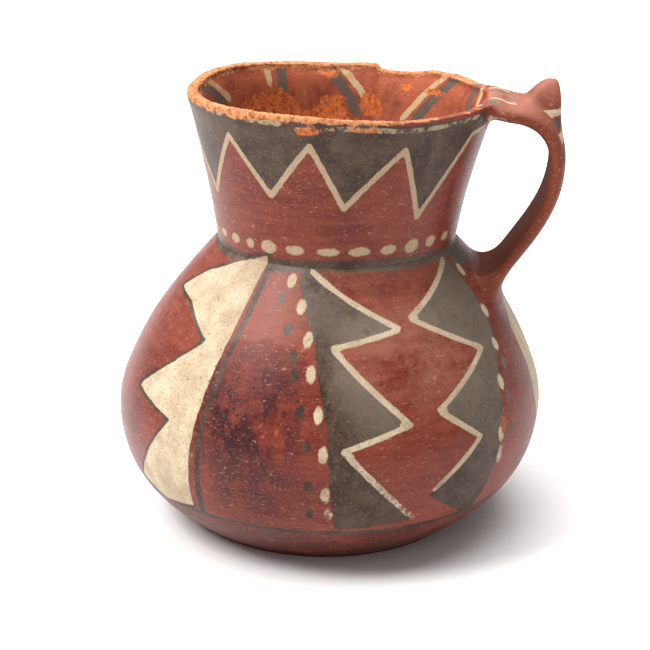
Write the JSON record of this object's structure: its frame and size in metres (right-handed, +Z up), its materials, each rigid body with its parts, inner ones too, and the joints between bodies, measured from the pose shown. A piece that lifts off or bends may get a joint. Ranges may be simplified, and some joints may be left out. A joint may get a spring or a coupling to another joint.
{
  "type": "jug",
  "caption": "Squat round earthenware jug with a flared neck and a strap handle with a pointed knob, painted with zigzags, panels and dots on red slip.",
  "frame": {"origin": "middle of the flat underside, on the surface the jug stands on", "axes": "+Z up out of the mouth, +X from the body towards the handle, -Y towards the side that faces the camera"},
  "size_m": [0.137, 0.1324, 0.1378],
  "materials": {
    "jug": "burnished red slip with painted patterns, worn along the lip"
  },
  "bodies": {
    "root": {"jug": "jug"}
  },
  "joints": []
}
